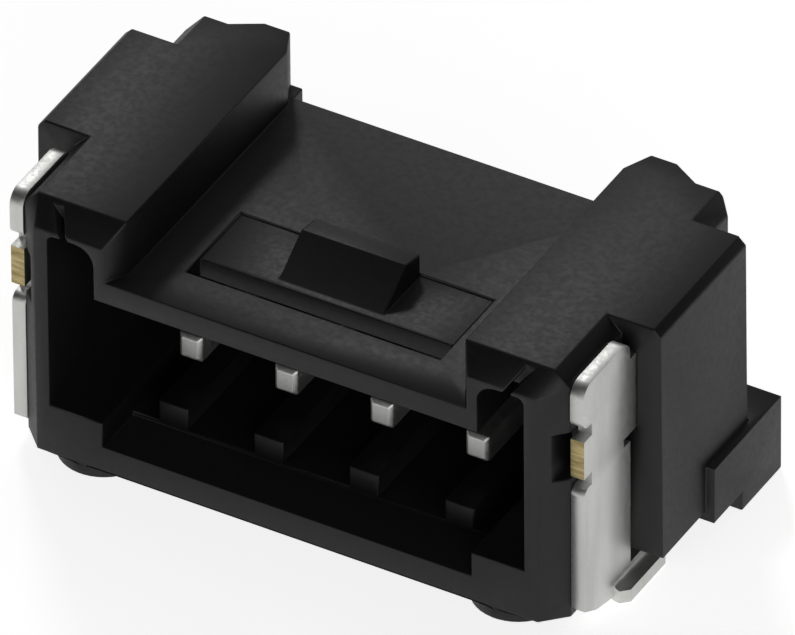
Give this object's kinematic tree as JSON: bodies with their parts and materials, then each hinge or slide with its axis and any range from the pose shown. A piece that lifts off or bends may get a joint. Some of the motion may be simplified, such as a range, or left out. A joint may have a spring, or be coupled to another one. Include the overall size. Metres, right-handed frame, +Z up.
{
  "type": "connector housing",
  "caption": "Right-angle surface-mount wire-to-board header: a moulded housing with a locking trough, one row of square pins and a solder tab on each side.",
  "frame": {"origin": "centre of the bounding box on the board plane, under the solder feet", "axes": "+X along the row of contacts, +Y from the mouth towards the solder tails, +Z up from the board"},
  "size_m": [0.0134, 0.0082, 0.0058],
  "materials": {
    "housing_plastic": "fine matte moulded black",
    "contact_metal": "satin tin plating over brass",
    "tab_metal": "satin tin plating over brass, bare where it was sheared"
  },
  "bodies": {
    "root": {"housing": "housing_plastic", "contact_pin_1": "contact_metal", "contact_pin_2": "contact_metal", "contact_pin_3": "contact_metal", "contact_pin_4": "contact_metal", "solder_tab_left": "tab_metal", "solder_tab_right": "tab_metal"}
  },
  "joints": []
}
